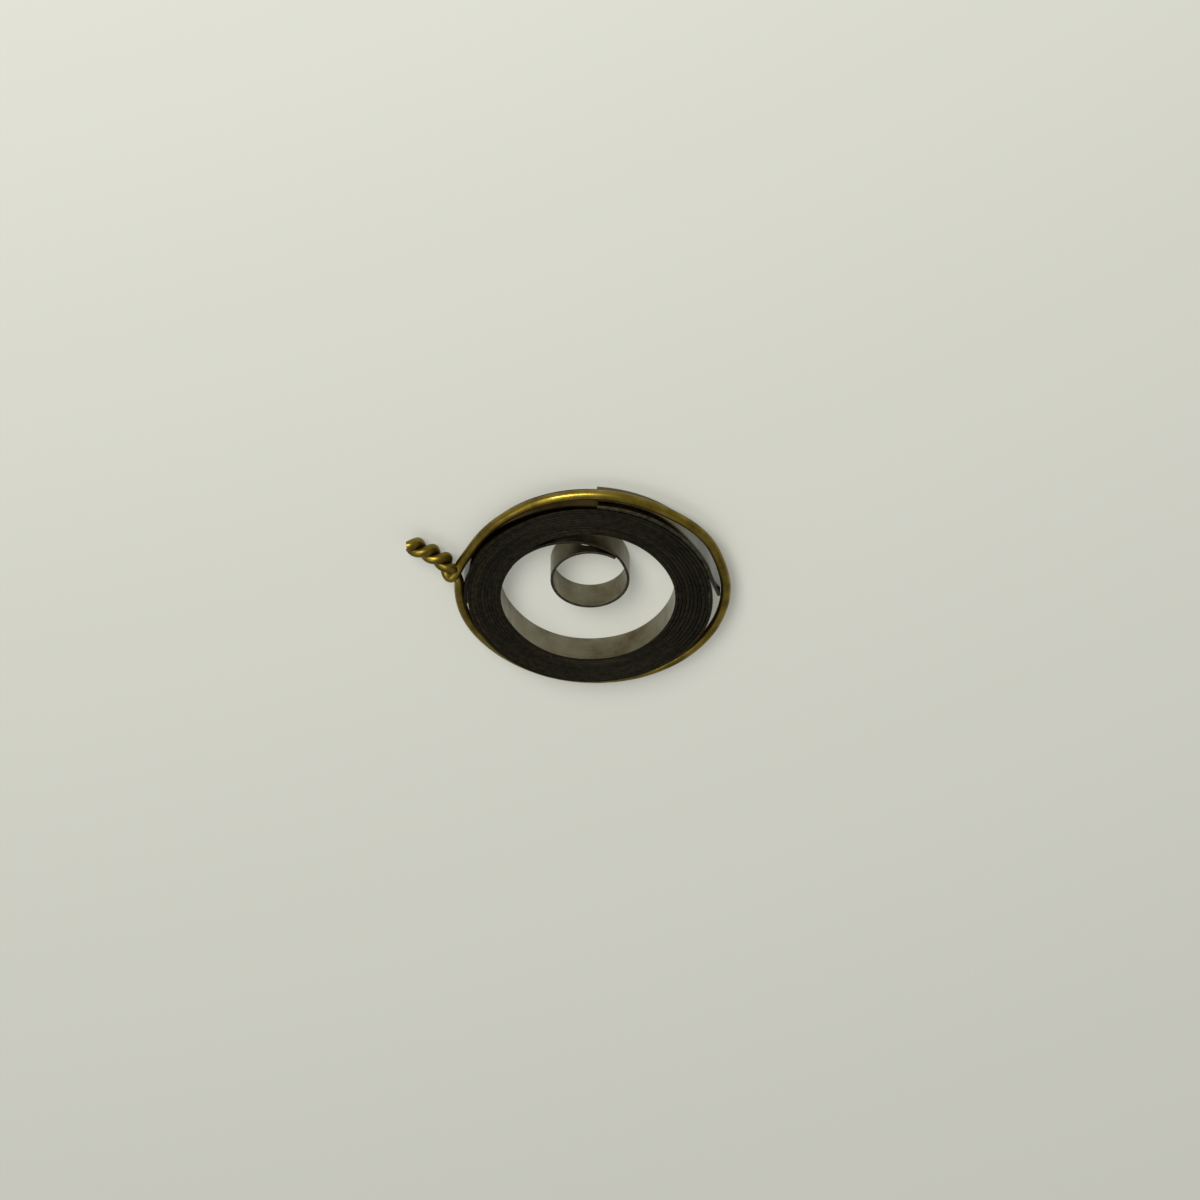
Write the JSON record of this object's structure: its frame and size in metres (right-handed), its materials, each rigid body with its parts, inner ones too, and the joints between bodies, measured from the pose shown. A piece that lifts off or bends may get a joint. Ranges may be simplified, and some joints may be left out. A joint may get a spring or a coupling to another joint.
{
  "type": "watch mainspring",
  "caption": "Flat-wound steel ribbon spring with a hooked inner eye and a riveted end tongue, tied in a ring of twisted brass wire.",
  "frame": {"origin": "axis of the eye, where the winding arbor goes, in the plane of the coil's lower face", "axes": "+Z along the coil's axis, which is the ribbon's width; -X towards the twisted ends of the wire; +Y from the axis of the pack towards the eye"},
  "size_m": [0.0226, 0.0189, 0.0021],
  "materials": {
    "spring_steel": "satin walls, dark oxidised edges",
    "tongue_steel": "satin",
    "rivet_steel": "filed flush, dull",
    "brass_wire": "drawn wire, aged, semi-bright"
  },
  "bodies": {
    "coil": {"wound_pack": "spring_steel", "eye_link": "spring_steel", "tongue": "tongue_steel", "tongue_rivet": "rivet_steel"},
    "eye": {"spring_eye": "spring_steel"},
    "wire": {"retaining_wire": "brass_wire"}
  },
  "joints": [
    {"name": "eye_wind", "type": "hinge", "parent": "coil", "child": "eye", "pos_m": [0, 0, 0.00103], "axis": [0, 0, 1], "range_deg": [-40, 10], "stiffness_Nm_per_rad": 0.02, "deforming": ["eye_link"]},
    {"name": "wire_slide_off", "type": "slide", "parent": "coil", "child": "wire", "axis": [0, 0, 1], "range_m": [0, 0.004]}
  ]
}
